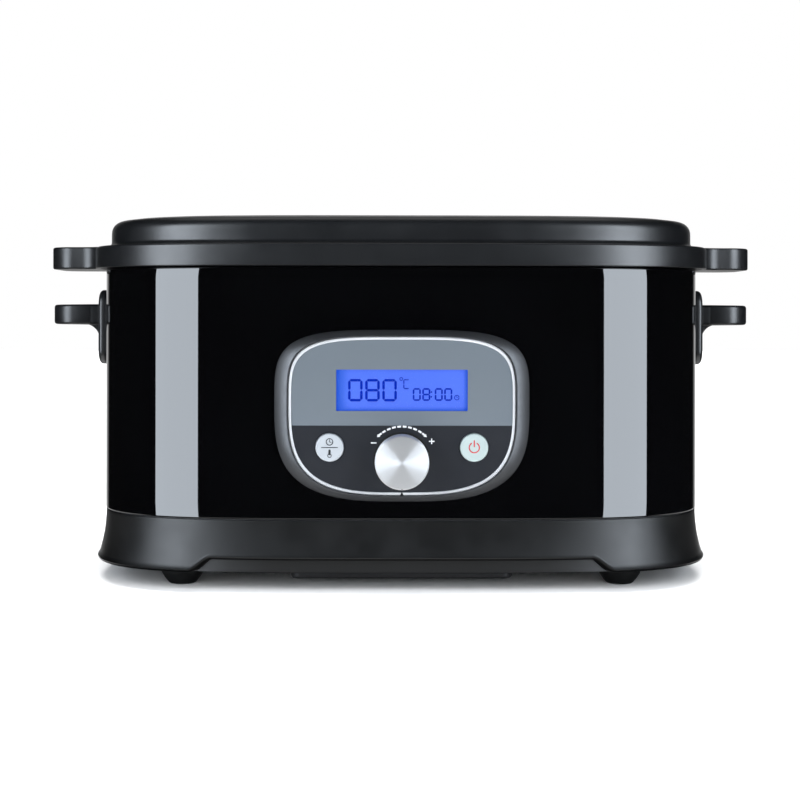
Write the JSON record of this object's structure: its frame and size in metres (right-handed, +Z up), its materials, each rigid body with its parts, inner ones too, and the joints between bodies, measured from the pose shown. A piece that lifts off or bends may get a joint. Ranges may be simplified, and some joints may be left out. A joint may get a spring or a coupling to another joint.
{
  "type": "sous vide cooker",
  "caption": "Countertop sous vide water oven: oval-cornered black housing, lift-off lid, lift-out pot with pouch rack, side handles, and a front panel with display, knob and buttons.",
  "frame": {"origin": "centre of the bounding box in plan, at the bottom of the feet, on the surface it stands on", "axes": "+X to the right of someone facing the panel, +Z up, the panel faces -Y"},
  "size_m": [0.417, 0.274, 0.204],
  "materials": {
    "satin_black_moulding": "satin moulded",
    "gloss_black_enamel": "high gloss black",
    "nonstick_aluminium": "dark non-stick coating",
    "stainless_wire": "bright drawn wire",
    "stainless_sheet": "brushed",
    "galvanised_sheet": "galvanised",
    "cast_heater": "cast, machined top",
    "element_sheath": "oxidised sheath",
    "silicone_seal": "soft matt",
    "glass_fibre": "needled glass fibre mat",
    "screw_steel": "zinc plated",
    "dark_cover": "matt black",
    "foot_rubber": "matt",
    "inlet_plastic": "fine spark texture",
    "contact_brass": "plated",
    "gunmetal_frame": "metallic gunmetal, satin",
    "silver_trim": "bright silver",
    "panel_print": "printed grey over dark grey",
    "display_lens": "clear lens",
    "display_glow": "back-lit blue liquid crystal",
    "button_silver": "satin silver",
    "button_pale_green": "satin pale green silver",
    "knob_aluminium": "spun face, bright edge",
    "board_green": "solder mask",
    "component_black": "moulded",
    "relay_blue": "moulded",
    "transformer_yellow": "tape wrapped",
    "terminal_green": "moulded",
    "ribbon_grey": "flat cable",
    "wire_silicone": "silicone insulation",
    "holder_ceramic": "unglazed",
    "fuse_case": "sleeved"
  },
  "bodies": {
    "housing": {"housing_wrap": "gloss_black_enamel", "top_collar": "satin_black_moulding", "heating_liner": "galvanised_sheet", "insulation_blanket": "glass_fibre", "heater_plate": "cast_heater", "heating_element": "element_sheath", "sensor_spring": "stainless_wire", "sensor_holder": "holder_ceramic", "thermal_fuse": "fuse_case", "base_shell": "satin_black_moulding", "bottom_pan": "galvanised_sheet", "electronics_cover": "dark_cover", "foot_front_left": "foot_rubber", "foot_front_right": "foot_rubber", "foot_rear_left": "foot_rubber", "foot_rear_right": "foot_rubber", "foot_screws": "screw_steel", "cover_screws": "screw_steel", "handle_left": "satin_black_moulding", "handle_right": "satin_black_moulding", "handle_screws": "screw_steel", "power_inlet": "inlet_plastic", "inlet_pins": "contact_brass", "inlet_screws": "screw_steel", "panel_bezel": "gunmetal_frame", "panel_trim_ring": "silver_trim", "panel_face": "panel_print", "panel_retainer": "galvanised_sheet", "retainer_screws": "screw_steel", "lcd_window": "display_lens", "lcd_module": "display_glow", "tact_switches": "component_black", "display_pcb": "board_green", "panel_screws": "screw_steel", "encoder_body": "component_black", "encoder_nut": "screw_steel", "power_pcb": "board_green", "relay": "relay_blue", "transformer": "transformer_yellow", "terminal_block": "terminal_green", "ribbon_cable": "ribbon_grey", "mains_wiring": "wire_silicone"},
    "pot": {"inner_pot": "nonstick_aluminium"},
    "rack": {"rack_base": "stainless_wire", "rack_divider_1": "stainless_wire", "rack_divider_2": "stainless_wire", "rack_divider_3": "stainless_wire", "rack_divider_4": "stainless_wire"},
    "lid": {"lid_shell": "satin_black_moulding", "lid_grip_left": "satin_black_moulding", "lid_grip_right": "satin_black_moulding", "lid_inner_pan": "stainless_sheet", "lid_gasket": "silicone_seal", "lid_screws": "screw_steel"},
    "knob": {"knob_cap": "knob_aluminium", "knob_hub": "satin_black_moulding", "encoder_shaft": "screw_steel"},
    "mode_button": {"button_mode": "button_silver"},
    "power_button": {"button_power": "button_pale_green"},
    "sensor": {"sensor_probe": "stainless_sheet"}
  },
  "joints": [
    {"name": "pot_lift", "type": "slide", "parent": "housing", "child": "pot", "axis": [0, 0, 1], "range_m": [0, 0.15]},
    {"name": "rack_lift", "type": "slide", "parent": "pot", "child": "rack", "axis": [0, 0, 1], "range_m": [0, 0.14]},
    {"name": "lid_lift", "type": "slide", "parent": "rack", "child": "lid", "axis": [0, 0, 1], "range_m": [0, 0.12]},
    {"name": "knob_turn", "type": "hinge", "parent": "housing", "child": "knob", "pos_m": [0, -0.12, 0.0714], "axis": [0, 1, 0], "continuous": true},
    {"name": "mode_press", "type": "slide", "parent": "housing", "child": "mode_button", "axis": [0, 1, 0], "range_m": [0, 0.0008], "stiffness_N_per_m": 600, "springref_m": -0.001},
    {"name": "power_press", "type": "slide", "parent": "housing", "child": "power_button", "axis": [0, 1, 0], "range_m": [0, 0.0008], "stiffness_N_per_m": 600, "springref_m": -0.001},
    {"name": "sensor_press", "type": "slide", "parent": "housing", "child": "sensor", "axis": [0, 0, -1], "range_m": [0, 0.002], "stiffness_N_per_m": 300, "springref_m": -0.004, "deforming": ["sensor_spring"]}
  ]
}
